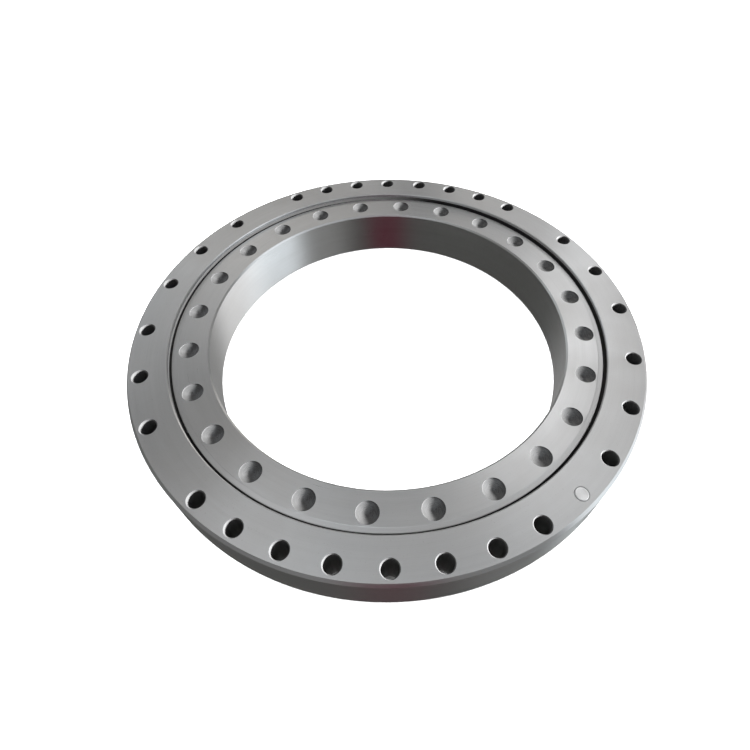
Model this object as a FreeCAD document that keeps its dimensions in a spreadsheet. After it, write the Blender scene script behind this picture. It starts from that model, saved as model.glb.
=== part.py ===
import FreeCAD, Part
import math
import os

import Sketcher

# Slewing ring bearing: one row of balls in four-point contact, bolted rings, no gear teeth.
# Millimetres. The bearing's axis is Z and z = 0 is the mounting face under the inner ring.
# The outer ring stands higher than the inner ring, so its top face is the highest plane.

DRIVING_SIZES = {
    # outer ring
    "outer_diameter": 944,
    "outer_bore": 808,
    "outer_base": 25,
    "outer_height": 85,
    "outer_rim_chamfer": 4.5,
    "outer_bore_chamfer": 1.5,
    # inner ring
    "inner_diameter": 799,
    "bore_diameter": 668,
    "inner_height": 100,
    "bore_chamfer": 3,
    "relief_width": 9,
    "relief_depth": 0.8,
    "inner_rim_chamfer": 0.6,
    # bolt holes of the outer ring: eight to a group about Y, six to a group about X
    "bolt_circle": 898,
    "bolt_hole": 26,
    "bolt_hole_chamfer": 1.5,
    "eight_first": 5,
    "eight_step": 9.6,
    "six_first": 7.9,
    "six_step": 13.9,
    # inner ring: tapped holes from below, shallow dimples on top
    "inner_circle": 740,
    "inner_count": 24,
    "tap_drill": 21,
    "tap_depth": 32,
    "tap_mouth": 26,
    "drill_point": 118,
    "dimple_diameter": 35,
    "dimple_wall": 1.6,
    "dimple_cone": 140,
    # balls, spacers and raceways
    "ball_diameter": 45,
    "ball_count": 48,
    "race_radius": 23.6,
    "race_gap": 0.4,
    "spacer_diameter": 32,
    "spacer_length": 19,
    "spacer_hole": 8,
    "spacer_gap": 0.35,
    # seals
    "seal_inset": 28,
    "seal_height": 5,
    "seal_depth": 6,
    "seal_lip_gap": 0.5,
    "lip_root_inset": 1.5,
    "lip_root_drop": 1.2,
    "lip_edge_width": 1,
    "lip_edge_rise": 0.4,
    "lip_point_drop": 0.2,
    "lip_heel_width": 0.6,
    "lip_heel_rise": 1.6,
    # loading plug and its taper pin
    "plug_angle": 314,
    "plug_diameter": 48,
    "plug_sink": 0.3,
    "flare_depth": 2,
    "flare_width": 5,
    "cutter_overrun": 3,
    "puller_drill": 10.2,
    "puller_depth": 22,
    "pin_end": 10,
    "pin_length": 80,
    "pin_taper": 0.01,
    "pin_chamfer": 1.2,
    # grease ports and nipples, sunk in the rim of the outer ring
    "port_angle": 44,
    "port_count": 3,
    "recess_diameter": 26,
    "recess_depth": 20,
    "port_thread": 10,
    "port_thread_depth": 14,
    "port_passage": 5,
    "nipple_shank": 10,
    "shank_length": 11,
    "shank_bevel": 1,
    "nipple_hex": 11,
    "nipple_hex_height": 4,
    "nipple_neck": 5.2,
    "neck_flare": 1.2,
    "neck_start": 3,
    "neck_length": 1,
    "head_cone": 2,
    "head_band": 1,
    "nipple_head": 6.6,
    "nipple_height": 13,
    "nipple_mouth": 2.4,
    "mouth_rim": 0.8,
}

doc = FreeCAD.newDocument("slewing_ring_bearing")
sheet = doc.addObject("Spreadsheet::Sheet", "Sizes")
for row, (alias, number) in enumerate(DRIVING_SIZES.items(), start=1):
    sheet.set(f"A{row}", alias)
    sheet.set(f"B{row}", str(number))
    sheet.setAlias(f"B{row}", alias)
doc.recompute()


class Dim:
    """A size as a number, together with the formula that works it out from the sheet."""

    def __init__(self, number, formula):
        self.number = float(number)
        self.formula = formula

    def joined(self, sign, other, number):
        right = other.formula if isinstance(other, Dim) else str(other)
        return Dim(number, f"({self.formula} {sign} {right})")

    def __add__(self, other):
        return self.joined("+", other, self.number + plain(other))

    def __sub__(self, other):
        return self.joined("-", other, self.number - plain(other))

    def __mul__(self, other):
        return self.joined("*", other, self.number * plain(other))

    def __truediv__(self, other):
        return self.joined("/", other, self.number / plain(other))


def plain(size):
    return size.number if isinstance(size, Dim) else float(size)


def given(alias):
    """A size straight from the sheet."""
    return Dim(sheet.get(alias), f"Sizes.{alias}")


def root(size):
    return Dim(math.sqrt(size.number), f"sqrt({size.formula})")


def sine(angle):
    return Dim(math.sin(math.radians(angle.number)), f"sin({angle.formula} * 1 deg)")


def cosine(angle):
    return Dim(math.cos(math.radians(angle.number)), f"cos({angle.formula} * 1 deg)")


ZERO = Dim(0, "0")

# Heights and radii that several pieces share.
outer_top = given("outer_base") + given("outer_height")
outer_radius = given("outer_diameter") / 2
outer_wall = given("outer_bore") / 2
inner_wall = given("inner_diameter") / 2
bore_radius = given("bore_diameter") / 2
inner_top = given("inner_height")
bolt_radius = given("bolt_circle") / 2
inner_bolt_radius = given("inner_circle") / 2

# The ball circle lies half way between the two rings' walls, and half way up their overlap.
pitch_radius = (outer_wall + inner_wall) / 2
race_level = (given("outer_base") + inner_top) / 2
ball_radius = given("ball_diameter") / 2

# Each raceway is a pointed arch of two arcs. Their centres are shifted at 45 degrees past the
# ball's centre, so the ball is nearest to each arc on a 45 degree contact line.
race_arc = given("race_radius")
race_shift = (race_arc - ball_radius - given("race_gap")) / math.sqrt(2)
race_reach = root(race_arc * race_arc - race_shift * race_shift)


def bind(thing, path, size):
    thing.setExpression(path, size.formula)


def new_body(name):
    body = doc.addObject("PartDesign::Body", name)
    body.Label = name
    return body


def origin_part(body, role):
    return next(part for part in body.Origin.OriginFeatures if part.Role == role)


def new_sketch(body, name, plane, turn=None, level=None):
    """A sketch on one of the body's own planes, turned about Z and lifted if asked."""
    sketch = body.newObject("Sketcher::SketchObject", name)
    sketch.AttachmentSupport = [(origin_part(body, plane), "")]
    sketch.MapMode = "FlatFace"
    # On the XZ plane the sketch's own Y is the bearing's Z.
    upright = FreeCAD.Vector(0, 1, 0)
    base = FreeCAD.Vector(0, plain(level or 0), 0)
    sketch.AttachmentOffset = FreeCAD.Placement(base, FreeCAD.Rotation(upright, plain(turn or 0)))
    if level is not None:
        bind(sketch, "AttachmentOffset.Base.y", level)
    if turn is not None:
        bind(sketch, "AttachmentOffset.Rotation.Angle", turn)
    return sketch


def pin_point(sketch, geometry, point, x, y):
    """Fixes one point of the sketch at x, y from the sketch's origin."""
    for kind, size, axis in (("DistanceX", x, -2), ("DistanceY", y, -1)):
        if size.number == 0:
            sketch.addConstraint(Sketcher.Constraint("PointOnObject", geometry, point, axis))
            continue
        rule = Sketcher.Constraint(kind, -1, 1, geometry, point, size.number)
        index = sketch.addConstraint(rule)
        bind(sketch, f"Constraints[{index}]", size)


def draw_outline(sketch, corners):
    """A closed outline of straight lines, each corner fixed by its two sizes."""
    spots = [FreeCAD.Vector(x.number, y.number, 0) for x, y in corners]
    first = sketch.GeometryCount
    for start, end in zip(spots, spots[1:] + spots[:1]):
        sketch.addGeometry(Part.LineSegment(start, end), False)
    count = len(corners)
    for index in range(count):
        here, following = first + index, first + (index + 1) % count
        sketch.addConstraint(Sketcher.Constraint("Coincident", here, 2, following, 1))
    for index, (x, y) in enumerate(corners):
        pin_point(sketch, first + index, 1, x, y)


def draw_circle(sketch, x, y, radius):
    centre = FreeCAD.Vector(x.number, y.number, 0)
    circle = Part.Circle(centre, FreeCAD.Vector(0, 0, 1), radius.number)
    geometry = sketch.addGeometry(circle, False)
    pin_point(sketch, geometry, 3, x, y)
    index = sketch.addConstraint(Sketcher.Constraint("Radius", geometry, radius.number))
    bind(sketch, f"Constraints[{index}]", radius)


def draw_arch(sketch, side):
    """The raceway's pointed arch. side is +1 where it opens into the outer ring, -1 inner."""
    centre_x = pitch_radius - race_shift * side
    arch_ends = []
    for up in (1, -1):
        centre_y = race_level - race_shift * up
        centre = FreeCAD.Vector(centre_x.number, centre_y.number, 0)
        apex = math.atan2(race_shift.number * up, race_reach.number * side)
        mouth = math.atan2(race_reach.number * up, race_shift.number * side)
        circle = Part.Circle(centre, FreeCAD.Vector(0, 0, 1), race_arc.number)
        low, high = sorted((apex % (2 * math.pi), mouth % (2 * math.pi)))
        if high - low > math.pi:
            low, high = high, low + 2 * math.pi
        geometry = sketch.addGeometry(Part.ArcOfCircle(circle, low, high), False)
        apex_first = abs((apex - low + 1e-9) % (2 * math.pi)) < 1e-6
        arch_ends.append((geometry, 1 if apex_first else 2, 2 if apex_first else 1))
        pin_point(sketch, geometry, 3, centre_x, centre_y)
        index = sketch.addConstraint(Sketcher.Constraint("Radius", geometry, race_arc.number))
        bind(sketch, f"Constraints[{index}]", race_arc)
    (upper, upper_apex, upper_mouth), (lower, lower_apex, lower_mouth) = arch_ends
    reach = race_reach.number
    mouth_x = pitch_radius.number
    top = FreeCAD.Vector(mouth_x, race_level.number - race_shift.number + reach, 0)
    bottom = FreeCAD.Vector(mouth_x, race_level.number + race_shift.number - reach, 0)
    line = sketch.addGeometry(Part.LineSegment(bottom, top), False)
    sketch.addConstraint(Sketcher.Constraint("Coincident", upper, upper_apex, lower, lower_apex))
    sketch.addConstraint(Sketcher.Constraint("Coincident", line, 2, upper, upper_mouth))
    sketch.addConstraint(Sketcher.Constraint("Coincident", line, 1, lower, lower_mouth))
    sketch.addConstraint(Sketcher.Constraint("Vertical", line))
    rule = Sketcher.Constraint("DistanceX", -1, 1, line, 1, mouth_x)
    bind(sketch, f"Constraints[{sketch.addConstraint(rule)}]", pitch_radius)


def add_turned(body, kind, name, sketch, axis="V_Axis"):
    """A full revolution that adds (Revolution) or removes (Groove) the sketch's outline."""
    feature = body.newObject(f"PartDesign::{kind}", name)
    feature.Profile = sketch
    feature.ReferenceAxis = (sketch, [axis])
    feature.Angle = 360
    sketch.Visibility = False
    doc.recompute()
    body.Tip = feature
    return feature


def add_polar(body, name, feature, count, sweep=360):
    pattern = body.newObject("PartDesign::PolarPattern", name)
    pattern.Originals = [feature]
    pattern.Axis = (origin_part(body, "Z_Axis"), [""])
    pattern.Angle = sweep
    bind(pattern, "Occurrences", count)
    body.Tip = pattern
    doc.recompute()
    return pattern


def ring_blank(body, low, high, small, large, small_chamfer, rim_corners):
    """The turned blank of a ring: a rectangle with its inner edges broken by 45 degrees."""
    sketch = new_sketch(body, f"{body.Name}_section", "XZ_Plane")
    corners = [
        (small + small_chamfer, low),
        *rim_corners,
        (small + small_chamfer, high),
        (small, high - small_chamfer),
        (small, low + small_chamfer),
    ]
    draw_outline(sketch, corners)
    add_turned(body, "Revolution", f"{body.Name}_blank", sketch)


def cut_raceway(body, side):
    sketch = new_sketch(body, f"{body.Name}_arch", "XZ_Plane")
    draw_arch(sketch, side)
    add_turned(body, "Groove", f"{body.Name}_raceway", sketch)


def seal_levels(up):
    """Lowest and highest level of a seal's groove. up is +1 for the upper seal, -1 for the lower."""
    inner_side = race_level + given("seal_inset") * up
    outer_side = inner_side + given("seal_height") * up
    return (inner_side, outer_side) if up > 0 else (outer_side, inner_side)


def cut_radial_steps(body, name, angle, steps):
    """A stepped round hole along a radius at the ball circle's level.

    steps holds (radius of the hole, how far out it reaches), from the axis outwards.
    """
    sketch = new_sketch(body, f"{name}_steps", "XZ_Plane", turn=angle, level=race_level)
    start = pitch_radius
    corners = [(start, ZERO)]
    inner_end = start
    for radius, reach in steps:
        corners += [(inner_end, radius), (reach, radius)]
        inner_end = reach
    corners.append((inner_end, ZERO))
    draw_outline(sketch, corners)
    return add_turned(body, "Groove", name, sketch, "H_Axis")


def make_outer_ring():
    body = new_body("outer_ring")
    low, high, chamfer = given("outer_base"), outer_top, given("outer_rim_chamfer")
    rim = [
        (outer_radius - chamfer, low),
        (outer_radius, low + chamfer),
        (outer_radius, high - chamfer),
        (outer_radius - chamfer, high),
    ]
    ring_blank(body, low, high, outer_wall, outer_radius, given("outer_bore_chamfer"), rim)
    cut_raceway(body, 1)
    for name, up in (("upper", 1), ("lower", -1)):
        floor, ceiling = seal_levels(up)
        sketch = new_sketch(body, f"{name}_seal_section", "XZ_Plane")
        near, far = pitch_radius, outer_wall + given("seal_depth")
        draw_outline(sketch, [(near, floor), (far, floor), (far, ceiling), (near, ceiling)])
        add_turned(body, "Groove", f"{name}_seal_groove", sketch)
    drill_bolt_holes(body)
    drill_plug_hole(body)
    cut_grease_ports(body)
    return body


def bolt_angles():
    """Angles from the X axis to the holes of one quadrant, six-groups first."""
    six = [given("six_first") + given("six_step") * step for step in range(3)]
    eight = [given("eight_first") + given("eight_step") * step for step in range(4)]
    return six + [Dim(90, "90") - angle for angle in eight]


def drill_bolt_holes(body):
    """Seven holes in one quadrant, mirrored over both principal planes, with broken edges."""
    sketch = new_sketch(body, "bolt_hole_places", "XY_Plane")
    for angle in bolt_angles():
        x, y = bolt_radius * cosine(angle), bolt_radius * sine(angle)
        draw_circle(sketch, x, y, given("bolt_hole") / 2)
    pocket = body.newObject("PartDesign::Pocket", "bolt_holes")
    pocket.Profile = sketch
    pocket.Type = "ThroughAll"
    pocket.Midplane = True
    doc.recompute()
    quadrants = body.newObject("PartDesign::MultiTransform", "bolt_hole_quadrants")
    quadrants.Originals = [pocket]
    mirrors = []
    for name, plane in (("left_right", "YZ_Plane"), ("front_back", "XZ_Plane")):
        mirror = body.newObject("PartDesign::Mirrored", name)
        mirror.MirrorPlane = (origin_part(body, plane), [""])
        mirrors.append(mirror)
    quadrants.Transformations = mirrors
    body.Tip = quadrants
    doc.recompute()
    chamfer = body.newObject("PartDesign::Chamfer", "bolt_hole_edges")
    wanted = given("bolt_hole").number / 2
    chamfer.Base = (quadrants, circular_edges(quadrants.Shape, wanted))
    bind(chamfer, "Size", given("bolt_hole_chamfer"))
    body.Tip = chamfer
    doc.recompute()


def circular_edges(shape, radius):
    names = []
    for index, edge in enumerate(shape.Edges, start=1):
        round_edge = isinstance(edge.Curve, Part.Circle)
        if round_edge and abs(edge.Curve.Radius - radius) < 1e-6:
            names.append(f"Edge{index}")
    return names


def pin_radius_at(level):
    """The taper pin's radius at a level: it is thinnest at its lower end."""
    foot = outer_top - given("pin_length")
    return given("pin_end") + (level - foot) * given("pin_taper")


def drill_plug_hole(body):
    """The radial hole that the balls go in by, and the taper pin's hole down through it."""
    cut_loading_hole(body)
    sketch = new_sketch(body, "pin_hole_section", "XZ_Plane", turn=given("plug_angle"))
    foot = outer_top - given("pin_length")
    low = given("outer_base")
    axis = sketch.addGeometry(
        Part.LineSegment(
            FreeCAD.Vector(bolt_radius.number, low.number, 0),
            FreeCAD.Vector(bolt_radius.number, outer_top.number, 0),
        ),
        True,
    )
    pin_point(sketch, axis, 1, bolt_radius, low)
    pin_point(sketch, axis, 2, bolt_radius, outer_top)
    corners = [
        (bolt_radius, low),
        (bolt_radius + given("pin_end"), low),
        (bolt_radius + given("pin_end"), foot),
        (bolt_radius + pin_radius_at(outer_top), outer_top),
        (bolt_radius, outer_top),
    ]
    draw_outline(sketch, corners)
    add_turned(body, "Groove", "pin_hole", sketch, "Axis0")


def cut_loading_hole(body):
    """A radial hole that widens like a cone at the rim, which breaks its outer edge."""
    sketch = new_sketch(
        body, "loading_hole_steps", "XZ_Plane", turn=given("plug_angle"), level=race_level
    )
    radius = given("plug_diameter") / 2
    flare_end = outer_radius + given("cutter_overrun")
    corners = [
        (pitch_radius, ZERO),
        (pitch_radius, radius),
        (outer_radius - given("flare_depth"), radius),
        (flare_end, radius + given("flare_width")),
        (flare_end, ZERO),
    ]
    draw_outline(sketch, corners)
    add_turned(body, "Groove", "loading_hole", sketch, "H_Axis")


def cut_grease_ports(body):
    floor = outer_radius - given("recess_depth")
    steps = [
        (given("port_passage") / 2, floor - given("port_thread_depth")),
        (given("port_thread") / 2, floor),
        (given("recess_diameter") / 2, outer_radius + given("cutter_overrun")),
    ]
    port = cut_radial_steps(body, "grease_port", given("port_angle"), steps)
    add_polar(body, "grease_ports", port, given("port_count"), sweep=180)


def make_inner_ring():
    body = new_body("inner_ring")
    edge = given("inner_rim_chamfer")
    relief_start = inner_wall - given("relief_width")
    relief_level = inner_top - given("relief_depth")
    rim = [
        (inner_wall - edge, ZERO),
        (inner_wall, edge),
        (inner_wall, relief_level - edge),
        (inner_wall - edge, relief_level),
        (relief_start, inner_top),
    ]
    ring_blank(body, ZERO, inner_top, bore_radius, inner_wall, given("bore_chamfer"), rim)
    cut_raceway(body, -1)
    cut_dimples(body)
    tap_underside(body)
    return body


def cut_dimples(body):
    """A shallow dimple on the top face: a short straight wall, then a wide cone."""
    sketch = new_sketch(body, "dimple_section", "XZ_Plane")
    radius = given("dimple_diameter") / 2
    wall_foot = inner_top - given("dimple_wall")
    half_cone = given("dimple_cone") / 2
    tip = wall_foot - radius * cosine(half_cone) / sine(half_cone)
    centre = inner_bolt_radius
    axis_line = Part.LineSegment(
        FreeCAD.Vector(centre.number, tip.number, 0),
        FreeCAD.Vector(centre.number, inner_top.number, 0),
    )
    axis = sketch.addGeometry(axis_line, True)
    pin_point(sketch, axis, 1, centre, tip)
    pin_point(sketch, axis, 2, centre, inner_top)
    corners = [
        (centre, tip),
        (centre + radius, wall_foot),
        (centre + radius, inner_top),
        (centre, inner_top),
    ]
    draw_outline(sketch, corners)
    dimple = add_turned(body, "Groove", "dimple", sketch, "Axis0")
    add_polar(body, "dimples", dimple, given("inner_count"))


def tap_underside(body):
    """Blind tapped holes in the mounting face, drilled at the thread's core diameter."""
    sketch = new_sketch(body, "tapped_hole_place", "XY_Plane")
    draw_circle(sketch, inner_bolt_radius, ZERO, given("tap_drill") / 2)
    doc.recompute()
    hole = body.newObject("PartDesign::Hole", "tapped_hole")
    hole.Profile = sketch
    hole.Reversed = True
    hole.DepthType = "Dimension"
    hole.DrillPoint = "Angled"
    hole.HoleCutType = "Countersink"
    hole.HoleCutCountersinkAngle = 90
    bind(hole, "DrillPointAngle", given("drill_point"))
    bind(hole, "Diameter", given("tap_drill"))
    bind(hole, "Depth", given("tap_depth"))
    bind(hole, "HoleCutDiameter", given("tap_mouth"))
    body.Tip = hole
    doc.recompute()
    add_polar(body, "tapped_holes", hole, given("inner_count"))


def make_seal(name, up):
    """A rubber seal: a foot that fills its groove and a lip that leans over to the inner ring."""
    body = new_body(name)
    floor, ceiling = seal_levels(up)
    near_race, far_race = (floor, ceiling) if up > 0 else (ceiling, floor)
    lip_radius = inner_wall + given("seal_lip_gap")
    foot = outer_wall + given("seal_depth")
    corners = [
        (foot, near_race),
        (foot, far_race),
        (outer_wall, far_race),
        (outer_wall - given("lip_root_inset"), far_race - given("lip_root_drop") * up),
        (lip_radius + given("lip_edge_width"), far_race + given("lip_edge_rise") * up),
        (lip_radius, far_race - given("lip_point_drop") * up),
        (lip_radius + given("lip_heel_width"), near_race + given("lip_heel_rise") * up),
        (outer_wall, near_race),
    ]
    sketch = new_sketch(body, f"{name}_profile", "XZ_Plane")
    draw_outline(sketch, corners)
    add_turned(body, "Revolution", f"{name}_turned", sketch)
    return body


def place(thing, base, axis=(0, 0, 1), angle=0):
    rotation = FreeCAD.Rotation(FreeCAD.Vector(*axis), angle)
    thing.Placement = FreeCAD.Placement(FreeCAD.Vector(*base), rotation)


def new_solid(kind, name, **sizes):
    """A Part primitive whose properties are bound to the sheet."""
    solid = doc.addObject(f"Part::{kind}", name)
    for path, size in sizes.items():
        bind(solid, path, size)
    return solid


def new_boolean(kind, name, base, tool):
    solid = doc.addObject(f"Part::{kind}", name)
    solid.Base = base
    solid.Tool = tool
    return solid


def make_balls():
    """Evenly spaced balls, the first on the X axis."""
    count = int(plain(given("ball_count")))
    balls = []
    for index in range(count):
        name = f"ball_{index + 1:02d}"
        ball = new_solid("Sphere", name, Radius=ball_radius)
        ball.Label = name
        angle = Dim(index * 360, str(index * 360)) / given("ball_count")
        bind(ball, "Placement.Base.x", pitch_radius * cosine(angle))
        bind(ball, "Placement.Base.y", pitch_radius * sine(angle))
        bind(ball, "Placement.Base.z", race_level)
        balls.append(ball)
    return balls


def make_spacers():
    """Plastic spacers between the balls: short rods with hollow ends, pierced for grease."""
    half_step = Dim(180, "180") / given("ball_count")
    chord_radius = pitch_radius * cosine(half_step)
    half_chord = pitch_radius * sine(half_step)
    length = given("spacer_length")
    rod = new_solid("Cylinder", "spacer_rod", Radius=given("spacer_diameter") / 2, Height=length)
    drill = new_solid("Cylinder", "spacer_drill", Radius=given("spacer_hole") / 2, Height=length)
    # Turned about X, the cylinders' own Z runs back along Y, through the spacer's middle.
    for cylinder in (rod, drill):
        place(cylinder, (chord_radius.number, length.number / 2, race_level.number), (1, 0, 0), 90)
    spacer = new_boolean("Cut", "spacer_pierced", rod, drill)
    for name, side in (("spacer_left_hollow", -1), ("spacer_right_hollow", 1)):
        hollow = new_solid("Sphere", name, Radius=ball_radius + given("spacer_gap"))
        centre = (chord_radius.number, side * half_chord.number, race_level.number)
        place(hollow, centre)
        spacer = new_boolean("Cut", f"{name}_cut", spacer, hollow)
    doc.recompute()
    count = int(plain(given("ball_count")))
    copies = []
    for index in range(count):
        angle = (index + 0.5) * 360 / count
        turn = FreeCAD.Placement(FreeCAD.Vector(), FreeCAD.Rotation(FreeCAD.Vector(0, 0, 1), angle))
        copies.append(spacer.Shape.transformed(turn.toMatrix()))
    spacers = doc.addObject("Part::Feature", "ball_spacers")
    spacers.Shape = Part.makeCompound(copies)
    spacers.Placement = FreeCAD.Placement()
    spacers.Label = "ball_spacers"
    return spacers


def radial_placement(radius, angle, level):
    """Puts a piece's own Z along the bearing's radius at this angle."""
    turn = math.radians(angle)
    base = FreeCAD.Vector(radius * math.cos(turn), radius * math.sin(turn), level)
    outward = FreeCAD.Rotation(FreeCAD.Vector(0, 0, 1), angle)
    tip_over = FreeCAD.Rotation(FreeCAD.Vector(0, 1, 0), 90)
    return FreeCAD.Placement(base, outward.multiply(tip_over))


def make_loading_plug():
    """The plug that closes the loading hole. Its inner end carries on the raceway."""
    angle, level = given("plug_angle").number, race_level.number
    length = outer_radius - pitch_radius + given("cutter_overrun")
    stock = new_solid("Cylinder", "plug_stock", Radius=given("plug_diameter") / 2, Height=length)
    stock.Placement = radial_placement(pitch_radius.number, angle, level)
    rim_radius = outer_radius - given("plug_sink")
    rim = new_solid("Cylinder", "plug_rim", Radius=rim_radius, Height=outer_top)
    plug = new_boolean("Common", "plug_rounded", stock, rim)
    wall = new_solid("Cylinder", "plug_wall", Radius=outer_wall, Height=outer_top)
    plug = new_boolean("Cut", "plug_walled", plug, wall)
    arcs = []
    for name, up in (("upper_arc_torus", 1), ("lower_arc_torus", -1)):
        torus = new_solid("Torus", name, Radius1=pitch_radius - race_shift, Radius2=race_arc)
        place(torus, (0, 0, level - race_shift.number * up))
        arcs.append(torus)
    raceway = new_boolean("Common", "plug_raceway", *arcs)
    plug = new_boolean("Cut", "plug_with_raceway", plug, raceway)
    foot = outer_top - given("pin_length")
    pin = new_solid(
        "Cone",
        "plug_pin_space",
        Radius1=given("pin_end"),
        Radius2=pin_radius_at(outer_top),
        Height=given("pin_length"),
    )
    turn = math.radians(angle)
    radius = bolt_radius.number
    place(pin, (radius * math.cos(turn), radius * math.sin(turn), foot.number))
    plug = new_boolean("Cut", "plug_pinned", plug, pin)
    drill, depth = given("puller_drill") / 2, given("puller_depth")
    puller = new_solid("Cylinder", "plug_puller", Radius=drill, Height=depth)
    puller.Placement = radial_placement((outer_radius - depth).number, angle, level)
    plug = new_boolean("Cut", "loading_plug", plug, puller)
    plug.Label = "loading_plug"
    return plug


def make_taper_pin():
    """The pin that locks the loading plug, driven in flush with the outer ring's top face."""
    body = new_body("taper_pin")
    chamfer = given("pin_chamfer")
    length = given("pin_length")
    head = given("pin_end") + length * given("pin_taper")
    corners = [
        (ZERO, ZERO),
        (given("pin_end") - chamfer, ZERO),
        (given("pin_end") + chamfer * given("pin_taper"), chamfer),
        (head - chamfer * given("pin_taper"), length - chamfer),
        (head - chamfer, length),
        (ZERO, length),
    ]
    sketch = new_sketch(body, "taper_pin_section", "XZ_Plane")
    draw_outline(sketch, corners)
    add_turned(body, "Revolution", "taper_pin_turned", sketch)
    bind(body, "Placement.Base.x", bolt_radius * cosine(given("plug_angle")))
    bind(body, "Placement.Base.y", bolt_radius * sine(given("plug_angle")))
    bind(body, "Placement.Base.z", outer_top - length)
    return body


def make_grease_nipple(name, angle):
    """A straight nipple: threaded shank, hexagon, neck and the head that a grease gun grips."""
    body = new_body(name)
    hex_top = given("nipple_hex_height")
    flats = new_sketch(body, f"{name}_hexagon", "XY_Plane")
    draw_hexagon(flats, given("nipple_hex") / 2)
    pad = body.newObject("PartDesign::Pad", f"{name}_flats")
    pad.Profile = flats
    bind(pad, "Length", hex_top)
    doc.recompute()
    shank, bevel = given("nipple_shank") / 2, given("shank_bevel")
    shank_end = ZERO - given("shank_length")
    shank_outline = [
        (ZERO, shank_end),
        (shank - bevel, shank_end),
        (shank, shank_end + bevel),
        (shank, ZERO),
        (ZERO, ZERO),
    ]
    neck, head = given("nipple_neck") / 2, given("nipple_head") / 2
    top, mouth = given("nipple_height"), given("nipple_mouth") / 2
    neck_low = hex_top + given("neck_start")
    neck_high = neck_low + given("neck_length")
    head_low = neck_high + given("head_cone")
    head_outline = [
        (ZERO, hex_top),
        (neck + given("neck_flare"), hex_top),
        (neck, neck_low),
        (neck, neck_high),
        (head, head_low),
        (head, head_low + given("head_band")),
        (mouth + given("mouth_rim"), top),
        (mouth, top),
        (ZERO, top - mouth),
    ]
    for part, outline in (("shank", shank_outline), ("head", head_outline)):
        sketch = new_sketch(body, f"{name}_{part}_section", "XZ_Plane")
        draw_outline(sketch, outline)
        add_turned(body, "Revolution", f"{name}_{part}", sketch)
    floor = outer_radius - given("recess_depth")
    body.Placement = radial_placement(floor.number, angle, race_level.number)
    return body


def draw_hexagon(sketch, inradius):
    """A regular hexagon about the origin, two of its flats square to Y."""
    across = inradius * (2 / math.sqrt(3))
    corners = []
    for step in range(6):
        angle = math.radians(60 * step)
        corners.append((across * math.cos(angle), inradius * (2 / math.sqrt(3) * math.sin(angle))))
    spots = [FreeCAD.Vector(x.number, y.number, 0) for x, y in corners]
    for start, end in zip(spots, spots[1:] + spots[:1]):
        sketch.addGeometry(Part.LineSegment(start, end), False)
    for index in range(6):
        sketch.addConstraint(Sketcher.Constraint("Coincident", index, 2, (index + 1) % 6, 1))
    for index, (x, y) in enumerate(corners):
        if abs(y.number) < 1e-9:
            y = ZERO
        pin_point(sketch, index, 1, x, y)


def make_grease_nipples():
    count = int(plain(given("port_count")))
    start = given("port_angle").number
    nipples = []
    for index in range(count):
        name = f"grease_nipple_{index + 1}"
        nipples.append(make_grease_nipple(name, start + 90 * index))
    return nipples


def check(pieces):
    """Stops if any feature failed or any piece is missing, empty or broken."""
    doc.recompute()
    failed = [thing.Name for thing in doc.Objects if {"Invalid", "Error"} & set(thing.State)]
    if failed:
        raise RuntimeError(f"features that did not build: {failed}")
    for piece in pieces:
        shape = piece.Shape
        if shape.isNull() or not shape.isValid() or not shape.Solids:
            raise RuntimeError(f"{piece.Label} has no sound shape")
        print(f"{piece.Label}: {len(shape.Solids)} solids, {shape.Volume / 1000:.2f} cm3")


pieces = [
    make_outer_ring(),
    make_inner_ring(),
    make_seal("upper_seal", 1),
    make_seal("lower_seal", -1),
    make_loading_plug(),
    make_taper_pin(),
    *make_grease_nipples(),
    *make_balls(),
    make_spacers(),
]
check(pieces)
os.makedirs("parts", exist_ok=True)
for piece in pieces:
    piece.Shape.exportStep(f"parts/{piece.Label}.step")
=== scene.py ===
"""Slewing ring bearing: turned steel rings, seals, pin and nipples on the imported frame."""

import math

import bpy
import numpy as np
from mathutils import Matrix, Vector


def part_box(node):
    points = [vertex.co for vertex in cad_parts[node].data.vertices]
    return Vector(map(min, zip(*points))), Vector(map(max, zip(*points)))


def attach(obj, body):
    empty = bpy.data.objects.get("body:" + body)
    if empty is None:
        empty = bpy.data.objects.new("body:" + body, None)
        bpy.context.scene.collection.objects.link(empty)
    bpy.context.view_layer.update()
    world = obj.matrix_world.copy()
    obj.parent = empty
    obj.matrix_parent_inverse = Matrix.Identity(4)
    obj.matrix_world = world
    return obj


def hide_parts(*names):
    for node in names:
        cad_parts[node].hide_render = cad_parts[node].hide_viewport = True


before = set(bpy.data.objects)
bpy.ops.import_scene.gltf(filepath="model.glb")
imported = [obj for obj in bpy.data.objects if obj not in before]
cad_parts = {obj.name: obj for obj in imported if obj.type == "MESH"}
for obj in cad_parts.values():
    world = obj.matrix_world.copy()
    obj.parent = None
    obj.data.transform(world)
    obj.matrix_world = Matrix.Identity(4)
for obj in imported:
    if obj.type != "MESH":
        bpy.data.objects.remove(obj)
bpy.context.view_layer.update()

MM = 0.001

# Levels that the frame's boxes give, in metres.
OUTER_LOW, OUTER_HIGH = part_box("outer_ring")
INNER_LOW, INNER_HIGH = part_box("inner_ring")
OUTER_BASE, OUTER_TOP = OUTER_LOW.z, OUTER_HIGH.z
INNER_BASE, INNER_TOP = INNER_LOW.z, INNER_HIGH.z

# Radii of the rings' walls. Below GAP_LEVEL the gap's walls are painted near-black, a painted shade
# for the shadow deep in the gap.
OUTER_RADIUS = 472 * MM
OUTER_WALL = 404 * MM
INNER_WALL = 399.5 * MM
BORE_RADIUS = 334 * MM
GAP_LEVEL = 104 * MM

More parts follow.
